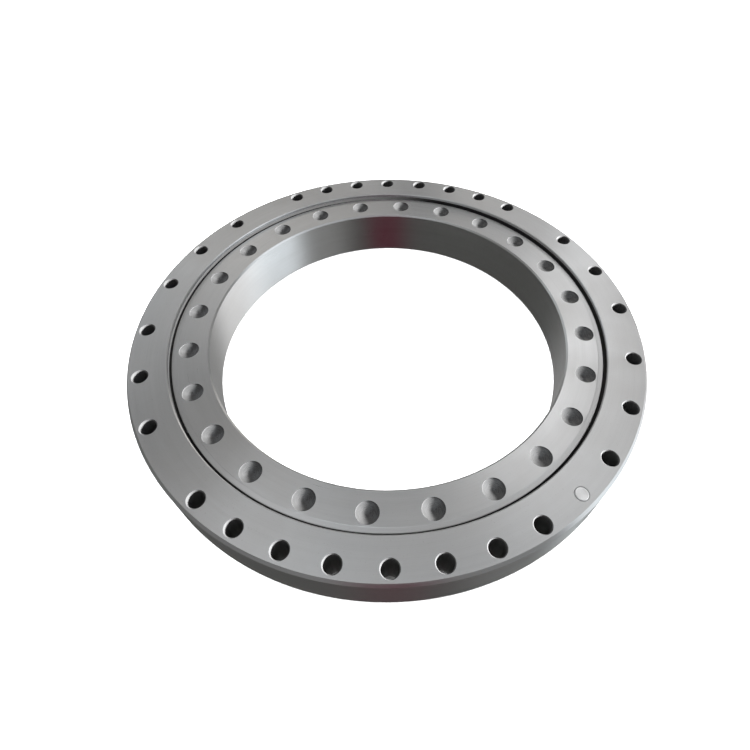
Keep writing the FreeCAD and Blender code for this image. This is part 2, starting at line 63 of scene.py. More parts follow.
# The raceways' pointed arch: two arcs, their centres shifted past the ball circle.
RACE_LEVEL = 62.5 * MM
PITCH_RADIUS = 401.75 * MM
RACE_RADIUS = 23.6 * MM
RACE_SHIFT = 0.495 * MM

# The outer ring's bolt holes: angles of one quadrant, from the X axis and from the Y axis.
BOLT_CIRCLE = 449 * MM
BOLT_RADIUS = 13 * MM
BOLT_CHAMFER = 1.5 * MM
SIX_ANGLES = [7.9, 21.8, 35.7]
EIGHT_ANGLES = [5.0, 14.6, 24.2, 33.8]

# The inner ring's dimples, with a tapped hole under each.
INNER_CIRCLE = 370 * MM
INNER_COUNT = 24
DIMPLE_RADIUS = 17.5 * MM
DIMPLE_WALL = 1.6 * MM
DIMPLE_SLOPE = math.tan(math.radians(20))
DIMPLE_EDGE = 0.5 * MM

# The taper pin stands in the gap between two bolt groups and holds the loading plug.
PLUG_ANGLE = math.radians(314)
PIN_LENGTH = 80 * MM
PIN_FOOT = 10 * MM
PIN_HEAD = 10.8 * MM

# The seals: how far from the raceway's level, how thick, and how deep in the outer ring's wall.
SEAL_OFFSET = 28 * MM
SEAL_HEIGHT = 5 * MM
SEAL_DEPTH = 6 * MM

# The grease nipples are screwed in at the floor of their pockets.
PORT_ANGLES = [math.radians(angle) for angle in (44, 134, 224)]
PORT_SEAT = 452 * MM

RING_STEPS = 720
OVER = 2 * MM  # how far a cutter reaches past the face it cuts


# ---------------------------------------------------------------- mesh helpers


def turned(profile, steps):
    """Vertices and faces of a profile of (radius, level) turned about Z.

    A profile that starts and ends on the axis makes a solid; any other one is closed to a ring.
    """
    on_axis = profile[0][0] == 0
    angles = np.arange(steps) * 2 * math.pi / steps
    verts, rows = [], []
    for radius, level in profile:
        if radius == 0:
            rows.append([len(verts)] * steps)
            verts.append((0.0, 0.0, level))
        else:
            rows.append(list(range(len(verts), len(verts) + steps)))
            verts += [(radius * math.cos(a), radius * math.sin(a), level) for a in angles]
    pairs = list(zip(rows, rows[1:]))
    if not on_axis:
        pairs.append((rows[-1], rows[0]))
    faces = []
    for low, high in pairs:
        for j in range(steps):
            k = (j + 1) % steps
            face = [low[j], low[k], high[k], high[j]]
            face = [v for i, v in enumerate(face) if v != face[i - 1]]
            faces.append(face)
    return verts, faces


def moved(part, matrix):
    """The part's vertices and faces after the matrix has moved them."""
    verts, faces = part
    return [tuple(matrix @ Vector(v)) for v in verts], faces


def joined(parts):
    """Several parts' vertices and faces as one part."""
    verts, faces = [], []
    for part_verts, part_faces in parts:
        start = len(verts)
        verts += part_verts
        faces += [[index + start for index in face] for face in part_faces]
    return verts, faces


def new_object(name, part):
    """A mesh object made of the part, linked to the scene."""
    verts, faces = part
    mesh = bpy.data.meshes.new(name)
    mesh.from_pydata(verts, [], faces)
    mesh.update()
    thing = bpy.data.objects.new(name, mesh)
    bpy.context.scene.collection.objects.link(thing)
    return thing


def rounded(corners, steps=3):
    """An outline of (radius, level, fillet) with the corners that have a fillet rounded."""
    outline = []
    count = len(corners)
    for index, (x, y, fillet) in enumerate(corners):
        if not fillet:
            outline.append((x, y))
            continue
        here = Vector((x, y))
        before = (Vector(corners[index - 1][:2]) - here).normalized()
        after = (Vector(corners[(index + 1) % count][:2]) - here).normalized()
        half = before.angle(after) / 2
        middle = here + (before + after).normalized() * (fillet / math.sin(half))
        start = here + before * (fillet / math.tan(half)) - middle
        end = here + after * (fillet / math.tan(half)) - middle
        for step in range(steps + 1):
            share = step / steps
            spoke = (start * (1 - share) + end * share).normalized() * fillet
            outline.append(tuple(middle + spoke))
    return outline


def applied(thing):
    """Replaces the object's mesh by what its modifiers make of it."""
    graph = bpy.context.evaluated_depsgraph_get()
    mesh = bpy.data.meshes.new_from_object(thing.evaluated_get(graph))
    thing.modifiers.clear()
    thing.data = mesh


def cut(blank, part):
    """Takes a closed cutter away from the blank."""
    cutter = new_object("cutter", part)
    modifier = blank.modifiers.new("cut", "BOOLEAN")
    modifier.operation = "DIFFERENCE"
    modifier.solver = "MANIFOLD"
    modifier.object = cutter
    bpy.context.view_layer.update()
    applied(blank)
    bpy.data.objects.remove(cutter)


def painted(thing, *materials):
    """Gives the piece these materials, and its faces the first of them."""
    thing.data.materials.clear()
    for material in materials:
        thing.data.materials.append(material)
    thing.data.polygons.foreach_set("material_index", [0] * len(thing.data.polygons))


def smoothed(thing, angle=28):
    """Smooth across shallow edges, with the large flat faces kept flat."""
    mesh = thing.data
    mesh.polygons.foreach_set("use_smooth", [True] * len(mesh.polygons))
    mesh.set_sharp_from_angle(angle=math.radians(angle))
    modifier = thing.modifiers.new("weighted", "WEIGHTED_NORMAL")
    modifier.mode = "FACE_AREA"
    modifier.weight = 50
    modifier.keep_sharp = True
    bpy.context.view_layer.update()
    applied(thing)


def arch(side, steps=12):
    """Points of the raceway's pointed arch, from its upper lip to its lower lip.

    side is +1 in the outer ring and -1 in the inner ring.
    """
    wall = OUTER_WALL if side > 0 else INNER_WALL
    centre = PITCH_RADIUS - RACE_SHIFT * side
    lip = math.acos(abs(wall - centre) / RACE_RADIUS)
    apex = math.asin(RACE_SHIFT / RACE_RADIUS)
    upper = []
    for step in range(steps + 1):
        angle = lip + (apex - lip) * step / steps
        radius = centre + side * RACE_RADIUS * math.cos(angle)
        upper.append((radius, RACE_LEVEL - RACE_SHIFT + RACE_RADIUS * math.sin(angle)))
    lower = [(radius, 2 * RACE_LEVEL - level) for radius, level in reversed(upper[:-1])]
    return upper + lower


def about(angle, radius=0.0, level=0.0):
    """A place on the bearing: turned about its axis, then out along the radius."""
    return Matrix.Rotation(angle, 4, "Z") @ Matrix.Translation((radius, 0, level))


def along_radius(angle, radius):
    """Local Z points out along the bearing's radius at the raceway's level."""
    return about(angle, radius, RACE_LEVEL) @ Matrix.Rotation(math.radians(90), 4, "Y")


def seal_levels(up):
    """The levels of a seal's side towards the balls and of its other side.

    up is 1 for the upper seal and -1 for the lower one.
    """
    near = RACE_LEVEL + SEAL_OFFSET * up
    return near, near + SEAL_HEIGHT * up


# ---------------------------------------------------------------- outer ring


def bolt_places():
    """Where the 28 bolt holes stand: one quadrant's seven, and their mirror images."""
    every = []
    for angle in SIX_ANGLES + [90 - angle for angle in EIGHT_ANGLES]:
        every += [angle, 180 - angle, 180 + angle, 360 - angle]
    return [about(math.radians(angle), BOLT_CIRCLE) for angle in sorted(every)]


def seal_groove(up):
    """The four corners of a seal's groove in the outer ring's wall, from the top down."""
    low, high = sorted(seal_levels(up))
    floor = OUTER_WALL + SEAL_DEPTH
    return [(OUTER_WALL, high), (floor, high), (floor, low), (OUTER_WALL, low)]


def outer_profile():
    base, top = OUTER_BASE, OUTER_TOP
    rim, lip, edge = 4.5 * MM, 1.5 * MM, 0.4 * MM
    outside = rounded(
        [
            (OUTER_WALL + lip, base, 0),
            (OUTER_RADIUS - rim, base, edge),
            (OUTER_RADIUS, base + rim, edge),
            (OUTER_RADIUS, top - rim, edge),
            (OUTER_RADIUS - rim, top, edge),
            (OUTER_WALL + lip, top, edge / 2),
            (OUTER_WALL, top - lip, edge / 2),
            (OUTER_WALL, base + lip, 0),
        ]
    )
    inside = [(OUTER_WALL, GAP_LEVEL)] + seal_groove(1) + arch(1) + seal_groove(-1)
    return outside[:-1] + inside + outside[-1:]


def bolt_cutter():
    wide = BOLT_RADIUS + BOLT_CHAMFER
    profile = [
        (0, OUTER_BASE - OVER),
        (wide + OVER, OUTER_BASE - OVER),
        (wide, OUTER_BASE),
        (BOLT_RADIUS, OUTER_BASE + BOLT_CHAMFER),
        (BOLT_RADIUS, OUTER_TOP - BOLT_CHAMFER),
        (wide, OUTER_TOP),
        (wide + OVER, OUTER_TOP + OVER),
        (0, OUTER_TOP + OVER),
    ]
    return turned(profile, 96)


def loading_hole_cutter():
    """The round hole in the rim that the balls go in by, from the ball circle outwards."""
    radius, chamfer, reach = 24 * MM, 2 * MM, 3 * MM
    rim = OUTER_RADIUS - PITCH_RADIUS
    profile = [
        (0, 0),
        (radius, 0),
        (radius, rim - chamfer),
        (radius + chamfer + reach, rim + reach),
        (0, rim + reach),
    ]
    return turned(profile, 96)


def pin_hole_cutter():
    """The hole for the taper pin: straight at its foot, tapered above, with a chamfered mouth."""
    mouth, mouth_depth = 11.9 * MM, 1.3 * MM
    profile = [
        (0, OUTER_BASE - OVER),
        (PIN_FOOT, OUTER_BASE - OVER),
        (PIN_FOOT, OUTER_TOP - PIN_LENGTH),
        (PIN_HEAD, OUTER_TOP - mouth_depth),
        (mouth, OUTER_TOP),
        (mouth + OVER, OUTER_TOP + OVER),
        (0, OUTER_TOP + OVER),
    ]
    return turned(profile, 96)


def port_cutter():
    """A grease port, from the ball circle outwards: drilled hole, threaded hole and pocket."""
    drill, thread, pocket = 2.5 * MM, 5 * MM, 13 * MM
    seat = PORT_SEAT - PITCH_RADIUS
    thread_end = seat - 14 * MM
    mouth = OUTER_RADIUS - PITCH_RADIUS - 1.05 * MM
    mouth_width, mouth_depth = 3 * MM, 4 * MM
    profile = [
        (0, 0),
        (drill, 0),
        (drill, thread_end),
        (thread, thread_end),
        (thread, seat),
        (pocket, seat),
        (pocket, mouth),
        (pocket + mouth_width, mouth + mouth_depth),
        (0, mouth + mouth_depth),
    ]
    return turned(profile, 64)


def make_outer_ring():
    ring = new_object("outer_ring_turned", turned(outer_profile(), RING_STEPS))
    cut(ring, joined([moved(bolt_cutter(), place) for place in bolt_places()]))
    cut(ring, moved(loading_hole_cutter(), along_radius(PLUG_ANGLE, PITCH_RADIUS)))
    cut(ring, moved(pin_hole_cutter(), about(PLUG_ANGLE, BOLT_CIRCLE)))
    cut(ring, joined([moved(port_cutter(), along_radius(a, PITCH_RADIUS)) for a in PORT_ANGLES]))
    smoothed(ring)
    return ring


# ---------------------------------------------------------------- inner ring


def dimple_places():
    return [about(2 * math.pi * k / INNER_COUNT, INNER_CIRCLE) for k in range(INNER_COUNT)]


def inner_profile():
    base, top = INNER_BASE, INNER_TOP
    bevel, edge, rim = 3 * MM, 0.3 * MM, 0.9 * MM
    # A shallow relief beside the gap, which starts with a small step.
    relief_start, relief_level = INNER_WALL - 9 * MM, top - 0.8 * MM
    step_width, step_depth, step_round = 0.7 * MM, 0.35 * MM, 0.2 * MM
    outside = rounded(
        [
            (BORE_RADIUS + bevel, base, edge),
            (INNER_WALL - rim, base, 0),
            (INNER_WALL, base + rim, 0),
            (INNER_WALL, relief_level - rim, 0),
            (INNER_WALL - rim, relief_level, 0),
            (relief_start + step_width, top - step_depth, step_round),
            (relief_start, top, 0),
            (BORE_RADIUS + bevel, top, edge),
            (BORE_RADIUS, top - bevel, edge),
            (BORE_RADIUS, base + bevel, edge),
        ]
    )
    wall_start = outside.index((INNER_WALL, base + rim)) + 1
    return outside[:wall_start] + arch(-1)[::-1] + outside[wall_start:]


def dimple_cutter():
    """The shallow cone with the fine rings that its boring tool leaves."""
    foot = INNER_TOP - DIMPLE_WALL
    rings, ripple = 9, 0.05 * MM
    corner, corner_rise = 0.4 * MM, 0.2 * MM
    profile = [(0, foot - DIMPLE_RADIUS * DIMPLE_SLOPE)]
    steps = rings * 2
    for step in range(1, steps + 1):
        radius = (DIMPLE_RADIUS - corner) * step / steps
        level = foot - (DIMPLE_RADIUS - radius) * DIMPLE_SLOPE
        profile.append((radius, level + ripple * (step % 2)))
    profile += [
        (DIMPLE_RADIUS, foot + corner_rise),
        (DIMPLE_RADIUS, INNER_TOP - DIMPLE_EDGE),
        (DIMPLE_RADIUS + DIMPLE_EDGE, INNER_TOP),
        (DIMPLE_RADIUS + DIMPLE_EDGE + OVER, INNER_TOP + OVER),
        (0, INNER_TOP + OVER),
    ]
    return turned(profile, 64)


def core_hole_cutter():
    """The blind hole under each dimple: countersunk mouth, thread rings and drill point."""
    core, crest, pitch = 10.5 * MM, 11.9 * MM, 3 * MM
    depth, point_slope = 32 * MM, math.tan(math.radians(31))
    mouth, mouth_depth = 15 * MM, 2.5 * MM
    profile = [(0, -OVER), (mouth, -OVER), (core, mouth_depth)]
    level = 2.9 * MM
    while level < depth - pitch:
        profile += [(core, level), (crest, level + pitch / 2)]
        level += pitch
    profile += [(core, level), (core, depth), (0, depth + core * point_slope)]
    return turned(profile, 28)


def make_inner_ring():
    ring = new_object("inner_ring_turned", turned(inner_profile(), RING_STEPS))
    cut(ring, joined([moved(dimple_cutter(), place) for place in dimple_places()]))
    cut(ring, joined([moved(core_hole_cutter(), place) for place in dimple_places()]))
    smoothed(ring)
    return ring


# ---------------------------------------------------------------- small pieces


def make_seal(name, up):
    """A rubber seal with a foot in its groove and a lip against the inner ring."""
    near, far = seal_levels(up)
    foot = OUTER_WALL + SEAL_DEPTH
    lip = INNER_WALL + 0.5 * MM
    corners = [
        (foot, near, 0.4 * MM),
        (foot, far, 0.4 * MM),
        (OUTER_WALL, far, 0.3 * MM),
        (OUTER_WALL - 1.5 * MM, far - 1.2 * MM * up, 0.5 * MM),
        (lip + 1 * MM, far + 0.4 * MM * up, 0.2 * MM),
        (lip, far - 0.2 * MM * up, 0.15 * MM),
        (lip + 0.6 * MM, near + 1.6 * MM * up, 0.3 * MM),
        (OUTER_WALL, near, 0.4 * MM),
    ]
    if up < 0:
        corners.reverse()
    seal = new_object(name, turned(rounded(corners, 2), RING_STEPS))
    smoothed(seal, 50)
    return seal


def make_pin():
    """The taper pin: flush with the top face, its edge rounded, a shallow hollow in its head."""
    foot = OUTER_TOP - PIN_LENGTH
    edge, taper = 1.8 * MM, 0.012 * MM
    hollow_radius, hollow_edge, hollow_depth = 7.0 * MM, 0.6 * MM, 0.12 * MM
    profile = [(0, foot), (PIN_FOOT - edge, foot), (PIN_FOOT, foot + edge)]
    profile.append((PIN_HEAD - taper, OUTER_TOP - edge))
    steps = 5
    for step in range(1, steps + 1):
        turn = math.radians(90 * step / steps)
        radius = PIN_HEAD - edge * (1 - math.cos(turn))
        profile.append((radius, OUTER_TOP - edge * (1 - math.sin(turn))))
    profile += [
        (hollow_radius + hollow_edge, OUTER_TOP - 0.02 * MM),
        (hollow_radius, OUTER_TOP - hollow_depth),
        (0, OUTER_TOP - hollow_depth),
    ]
    pin = new_object("taper_pin_turned", turned(profile, 96))
    pin.data.transform(about(PLUG_ANGLE, BOLT_CIRCLE))
    smoothed(pin, 40)
    return pin


# A nipple's own Z points outwards, and its hexagon stands on the floor of its pocket at 0.
HEXAGON_HALF = 5.5 * MM  # half the width across the flats
HEXAGON_HEIGHT = 4 * MM


def nipple_shank():
    """The threaded shank, 11 mm long."""
    root, crest, pitch = 4.2 * MM, 4.95 * MM, 1 * MM
    shank = [(0, -11 * MM), (3.6 * MM, -11 * MM)]
    level = -10.2 * MM
    while level < -1.5 * MM:
        shank += [(root, level), (crest, level + pitch / 2)]
        level += pitch
    neck, seat = 4.3 * MM, 0.2 * MM
    shank += [(neck, -0.8 * MM), (neck, seat), (0, seat)]
    return turned(shank, 48)


def nipple_hexagon():
    """The hexagon, whose corners are turned off to a cone at both ends."""
    cone, turned_radius = 0.45 * MM, 5.6 * MM
    corner = HEXAGON_HALF / math.cos(math.radians(30))
    count = 6 * 8
    verts, rings = [(0, 0, 0)], []
    for level, limit in (
        (0, turned_radius),
        (cone, corner),
        (HEXAGON_HEIGHT - cone, corner),
        (HEXAGON_HEIGHT, turned_radius),
    ):
        rings.append(list(range(len(verts), len(verts) + count)))
        for step in range(count):
            turn = 2 * math.pi * step / count
            off = (turn + math.radians(30)) % math.radians(60) - math.radians(30)
            flat = HEXAGON_HALF / math.cos(math.radians(30) - abs(off))
            radius = min(flat, limit)
            verts.append((radius * math.cos(turn), radius * math.sin(turn), level))
    top = len(verts)
    verts.append((0, 0, HEXAGON_HEIGHT))
    faces = []
    for low, high in zip(rings, rings[1:]):
        for j in range(count):
            k = (j + 1) % count
            faces.append([low[j], low[k], high[k], high[j]])
    faces += [[0, rings[0][(j + 1) % count], rings[0][j]] for j in range(count)]
    faces += [[top, rings[-1][j], rings[-1][(j + 1) % count]] for j in range(count)]
    return verts, faces


def nipple_head():
    """The cone above the hexagon, the neck and the head with its mouth."""
    foot, mouth = 3.6 * MM, 11.8 * MM
    outline = rounded(
        [
            (3.8 * MM, foot, 0),
            (3.8 * MM, 4.0 * MM, 0.3 * MM),
            (2.6 * MM, 7.0 * MM, 0.5 * MM),
            (2.6 * MM, 8.0 * MM, 0.4 * MM),
            (3.3 * MM, 10.0 * MM, 0.3 * MM),
            (3.3 * MM, 11.0 * MM, 0.3 * MM),
            (2.0 * MM, 13.0 * MM, 0.2 * MM),
            (1.2 * MM, 13.0 * MM, 0.1 * MM),
            (1.0 * MM, mouth, 0),
        ]
    )
    return turned([(0, foot)] + outline + [(0, mouth)], 48)


def check_ball():
    """The small ball in the nipple's mouth."""
    radius, level = 0.95 * MM, 12.15 * MM
    steps = 6
    outline = [(0, level - radius)]
    for step in range(1, steps):
        turn = math.radians(-90 + 180 * step / steps)
        outline.append((radius * math.cos(turn), level + radius * math.sin(turn)))
    outline.append((0, level + radius))
    return turned(outline, 24)


def make_nipple(name, angle):
    """A grease nipple: threaded shank, hexagon with turned corners, neck, head and check ball."""
    parts = [nipple_shank(), nipple_hexagon(), nipple_head(), check_ball()]
    nipple = new_object(name, moved(joined(parts), along_radius(angle, PORT_SEAT)))
    smoothed(nipple, 30)
    return nipple


# ---------------------------------------------------------------- materials


class Graph:
    """The nodes of a material or a world, with short ways to add and join them."""

    def __init__(self, owner, shader):
        owner.use_nodes = True
        self.owner = owner
        self.tree = owner.node_tree
        self.shader = self.tree.nodes[shader]

    def add(self, kind, *inputs, output=0, **settings):
        """Adds a node, fills its first inputs, and gives back one of its outputs."""
        node = self.tree.nodes.new(kind)
        for key, value in settings.items():
            setattr(node, key, value)
        for slot, value in zip(node.inputs, inputs):
            self.fill(slot, value)
        return node.outputs[output]

    def fill(self, slot, value):
        """Joins a socket to the slot, or sets its number or colour; None leaves it as it is."""
        if isinstance(value, bpy.types.NodeSocket):
            self.tree.links.new(value, slot)
        elif value is not None:
            slot.default_value = value

    def math(self, operation, *inputs):
        return self.add("ShaderNodeMath", *inputs, operation=operation)

    def vector(self, operation, *inputs, output=0):
        return self.add("ShaderNodeVectorMath", *inputs, operation=operation, output=output)

    def object_point(self):
        return self.add("ShaderNodeTexCoord", output="Object")

    def split(self, vector):
        """The three parts of a vector."""
        node = self.tree.nodes.new("ShaderNodeSeparateXYZ")
        self.fill(node.inputs[0], vector)
        return node.outputs

    def noise(self, vector, scale, detail=3.0, roughness=0.6, distortion=0.0):
        node = self.tree.nodes.new("ShaderNodeTexNoise")
        for name, value in (
            ("Vector", vector),
            ("Scale", scale),
            ("Detail", detail),
            ("Roughness", roughness),
            ("Distortion", distortion),
        ):
            self.fill(node.inputs[name], value)
        return node.outputs["Fac"]

    def spread(self, value, given, wanted, kind="LINEAR"):
        """Maps value from the given pair's range to the wanted pair's, clamped."""
        node = self.tree.nodes.new("ShaderNodeMapRange")
        node.interpolation_type = kind
        for name, number in (
            ("Value", value),
            ("From Min", given[0]),
            ("From Max", given[1]),
            ("To Min", wanted[0]),
            ("To Max", wanted[1]),
        ):
            self.fill(node.inputs[name], number)
        return node.outputs["Result"]

    def mix(self, share, first, second):
        node = self.tree.nodes.new("ShaderNodeMix")
        node.data_type = "RGBA"
        self.fill(node.inputs["Factor"], share)
        # Inputs 6 and 7 are the two colours, output 2 the mixed one.
        self.fill(node.inputs[6], first)
        self.fill(node.inputs[7], second)
        return node.outputs[2]

    def bump(self, height, strength, distance):
        """A fine relief made of the height, distance deep at full strength."""
        node = self.tree.nodes.new("ShaderNodeBump")
        node.inputs["Strength"].default_value = strength
        node.inputs["Distance"].default_value = distance
        self.fill(node.inputs["Height"], height)
        return node.outputs[0]

    def set(self, **values):
        """Fills the shader's own sockets; underscores stand for spaces."""
        for key, value in values.items():
            self.fill(self.shader.inputs[key.replace("_", " ")], value)


def new_material(name):
    return Graph(bpy.data.materials.new(name), "Principled BSDF")


def grey(value, warmth=0.0):
    return (value * (1 + warmth), value, value * (1 - warmth), 1)


def machined_steel(
    name, shade, roughness, anisotropy, depth, spacing=0.9 * MM, local=False, metal=1.0
):
    """Turned steel: fine lines around the axis, an oily film, and a shine drawn across the lines.

    depth and spacing are those of the lines. local is for holes, dimples and the pin, whose lines
    go round their own axes. Their mesh holds each point's place from that axis in the attribute
    "spot". metal under 1 is for rough or oily steel.
    """
    g = new_material(name)
    if local:
        point = g.add("ShaderNodeAttribute", attribute_name="spot", output="Vector")
    else:
        point = g.object_point()
    x, y, z = g.split(point)
    flat = g.add("ShaderNodeCombineXYZ", x, y, 0.0)
    radius = g.vector("LENGTH", flat, output="Value")
    spoke = g.vector("NORMALIZE", flat)
    around = g.vector("CROSS_PRODUCT", (0, 0, 1), spoke)
    # Lines are spaced along 1.3 r + 0.8 z, which changes across flat faces, walls and bevels alike.
    across = g.math("ADD", g.math("MULTIPLY", radius, 1.3), g.math("MULTIPLY", z, 0.8))
    lines = []
    for pitch, wander, detail in ((spacing, 1.5, 2.0), (spacing * 9, 2.5, 3.0)):
        level = g.add("ShaderNodeCombineXYZ", 0.0, 0.0, g.math("DIVIDE", across, pitch))
        place = g.vector("ADD", g.vector("SCALE", spoke, None, None, wander), level)
        lines.append(g.noise(place, scale=1.0, detail=detail))
    fine, bands = lines
    smudge = g.noise(point, scale=7.0, detail=4.0, roughness=0.55, distortion=0.4)
    film = g.spread(smudge, (0.35, 0.7), (0.0, 1.0))
    specks = g.noise(point, scale=420.0, detail=2.0, roughness=0.5)
    tone = g.mix(film, grey(shade * 1.04, -0.01), grey(shade * 0.92, 0.01))
    tone = g.mix(g.spread(bands, (0.3, 0.7), (0.0, 0.55)), tone, grey(shade * 0.9))
    tone = g.mix(g.spread(fine, (0.25, 0.75), (0.0, 0.35)), tone, grey(shade * 1.1))
    tone = g.mix(g.spread(specks, (0.66, 0.78), (0.0, 0.5)), tone, grey(shade * 0.66, 0.03))
    film_rough = g.spread(film, (0.0, 1.0), (roughness * 0.92, roughness * 1.12))
    rough = g.math("ADD", film_rough, g.spread(fine, (0.2, 0.8), (-0.04, 0.04)))
    height = g.math("ADD", g.math("MULTIPLY", fine, 0.7), g.math("MULTIPLY", bands, 0.5))
    tangent = g.add(
        "ShaderNodeVectorTransform",
        around,
        vector_type="VECTOR",
        convert_from="OBJECT",
        convert_to="WORLD",
    )
    g.set(
        Base_Color=tone,
        Metallic=metal,
        Roughness=rough,
        Normal=g.bump(height, strength=0.35, distance=depth),
        Tangent=tangent,
        Anisotropic=anisotropy,
        Anisotropic_Rotation=0.25,
    )
    return g.owner


def rubber():
    g = new_material("seal_rubber_black")
    point = g.object_point()
    grain = g.noise(point, scale=900.0)
    dust = g.noise(point, scale=26.0, detail=4.0, roughness=0.65, distortion=0.3)
    g.set(
        Base_Color=g.mix(
            g.spread(dust, (0.5, 0.75), (0.0, 0.6)), grey(0.012, 0.01), grey(0.035, 0.05)
        ),
        Roughness=g.spread(dust, (0.3, 0.8), (0.42, 0.62)),
        Normal=g.bump(grain, strength=0.25, distance=0.05 * MM),
    )
    return g.owner


def chrome_steel():
    g = new_material("ball_chrome_steel")
    point = g.object_point()
    film = g.noise(point, scale=60.0, distortion=0.5)
    polish = g.noise(point, scale=1500.0, detail=2.0, roughness=0.5)
    g.set(
        Base_Color=g.mix(g.spread(film, (0.4, 0.7), (0.0, 1.0)), grey(0.66), grey(0.56, 0.03)),
        Metallic=1.0,
        Roughness=g.spread(film, (0.3, 0.8), (0.05, 0.16)),
        Normal=g.bump(polish, strength=0.08, distance=0.01 * MM),
    )
    return g.owner


def nylon():
    g = new_material("spacer_nylon")
    point = g.object_point()
    clean, greasy = (0.78, 0.75, 0.66, 1), (0.62, 0.55, 0.38, 1)
    mould = g.noise(point, scale=240.0)
    grease = g.noise(point, scale=30.0, distortion=0.6)
    g.set(
        Base_Color=g.mix(g.spread(grease, (0.45, 0.7), (0.0, 1.0)), clean, greasy),
        Roughness=g.spread(mould, (0.3, 0.7), (0.35, 0.5)),
        Normal=g.bump(mould, strength=0.2, distance=0.05 * MM),
        Subsurface_Weight=0.1,
    )
    return g.owner


def zinc_plate():
    g = new_material("nipple_zinc_plate")
    point = g.object_point()
    yellow, blue = (0.70, 0.66, 0.52, 1), (0.58, 0.60, 0.58, 1)
    blotch = g.noise(point, scale=160.0, detail=4.0, distortion=0.8)
    grain = g.noise(point, scale=2200.0, detail=2.0, roughness=0.5)
    g.set(
        Base_Color=g.mix(g.spread(blotch, (0.35, 0.7), (0.0, 1.0)), yellow, blue),
        Metallic=1.0,
        Roughness=g.spread(blotch, (0.3, 0.8), (0.24, 0.42)),
        Normal=g.bump(grain, strength=0.2, distance=0.02 * MM),
    )
    return g.owner


def mark_spots(piece, places, reach, level, material_index):
    """Gives the faces in the holes at these places their own material.

    The attribute "spot" holds each point's place from its hole's axis and from the level.
    """
    mesh = piece.data
    co = np.zeros(len(mesh.vertices) * 3)
    mesh.vertices.foreach_get("co", co)
    co = co.reshape(-1, 3)
    spot = np.zeros_like(co)
    near = np.full(len(co), False)
    for place in places:
        off = co[:, :2] - np.array(place.translation)[:2]
        inside = np.hypot(off[:, 0], off[:, 1]) < reach
        spot[inside, :2] = off[inside]
        spot[inside, 2] = co[inside, 2] - level
        near |= inside
    attribute = mesh.attributes.new("spot", "FLOAT_VECTOR", "POINT")
    attribute.data.foreach_set("vector", spot.ravel())
    flat_face = 0.9995
    for face in mesh.polygons:
        if abs(face.normal.z) < flat_face and all(near[v] for v in face.vertices):
            face.material_index = material_index


def mark_gap(ring, wall, material_index):
    """Gives the wall inside the gap between the rings its own near-black material, a painted shade
    for the shadow in the gap.
    """
    for face in ring.data.polygons:
        centre = face.center
        beside = abs(math.hypot(centre.x, centre.y) - wall) < 0.3 * MM
        upright = abs(face.normal.z) < 0.1
        if beside and upright and centre.z < GAP_LEVEL:
            face.material_index = material_index


# ---------------------------------------------------------------- build

outer_steel = machined_steel(
    "outer_ring_steel", shade=0.60, roughness=0.34, anisotropy=0.76, depth=0.01 * MM
)
inner_steel = machined_steel(
    "inner_ring_steel", shade=0.60, roughness=0.32, anisotropy=0.76, depth=0.01 * MM
)
# The bolt holes' steel is painted dark: a painted shade for the shadow inside the holes.
hole_painted_shade = machined_steel(
    "drilled_steel_painted_shade",
    shade=0.10,
    roughness=0.42,
    anisotropy=0.3,
    depth=0.02 * MM,
    spacing=0.5 * MM,
    local=True,
    metal=0.3,
)
# The dimples' steel is painted dark: a painted shade for the shadow in the shallow cones.
dimple_painted_shade = machined_steel(
    "dimple_painted_shade",
    shade=0.075,
    roughness=0.28,
    anisotropy=0.8,
    depth=0.008 * MM,
    spacing=0.7 * MM,
    local=True,
    metal=0.3,
)
# Near-black steel for the gap's walls: a painted shade for the shadow deep in the gap between the
# rings.
gap_painted_shade = machined_steel(
    "gap_painted_shade_steel", shade=0.05, roughness=0.50, anisotropy=0.2, depth=0.02 * MM, metal=0.5
)
plug_steel = machined_steel(
    "plug_steel_turned", shade=0.56, roughness=0.36, anisotropy=0.4, depth=0.02 * MM
)
pin_steel = machined_steel(
    "pin_steel_turned",
    shade=0.66,
    roughness=0.34,
    anisotropy=0.4,
    depth=0.02 * MM,
    spacing=0.4 * MM,
    local=True,
    metal=0.93,
)

# Material slots of the rings: 0 the ring's own steel, 1 its holes or dimples, 2 the gap's wall.
# Slots 1 and 2 hold dark steel, a painted shade for the shadow in the holes, dimples and gap.
HOLE_SLOT, GAP_SLOT = 1, 2
MARGIN = 0.05 * MM

outer_ring = make_outer_ring()
painted(outer_ring, outer_steel, hole_painted_shade, gap_painted_shade)
bolt_reach = BOLT_RADIUS + BOLT_CHAMFER + MARGIN
mark_spots(outer_ring, bolt_places(), bolt_reach, OUTER_TOP, HOLE_SLOT)
mark_gap(outer_ring, OUTER_WALL, GAP_SLOT)
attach(outer_ring, "outer_assembly")
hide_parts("outer_ring")

inner_ring = make_inner_ring()
painted(inner_ring, inner_steel, dimple_painted_shade, gap_painted_shade)
dimple_reach = DIMPLE_RADIUS + DIMPLE_EDGE + MARGIN
mark_spots(inner_ring, dimple_places(), dimple_reach, INNER_TOP, HOLE_SLOT)
mark_gap(inner_ring, INNER_WALL, GAP_SLOT)
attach(inner_ring, "inner_assembly")
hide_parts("inner_ring")

rubber_black = rubber()
for seal_name, up in (("upper_seal", 1), ("lower_seal", -1)):
    seal = make_seal(f"{seal_name}_moulded", up)
    painted(seal, rubber_black)
    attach(seal, "outer_assembly")
    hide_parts(seal_name)

pin = make_pin()
painted(pin, pin_steel)
mark_spots(pin, [about(PLUG_ANGLE, BOLT_CIRCLE)], 12 * MM, OUTER_TOP, 0)
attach(pin, "outer_assembly")
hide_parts("taper_pin")

zinc = zinc_plate()
for number, angle in enumerate(PORT_ANGLES, start=1):
    nipple = make_nipple(f"grease_nipple_{number}_turned", angle)
    painted(nipple, zinc)
    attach(nipple, "outer_assembly")
    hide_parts(f"grease_nipple_{number}")

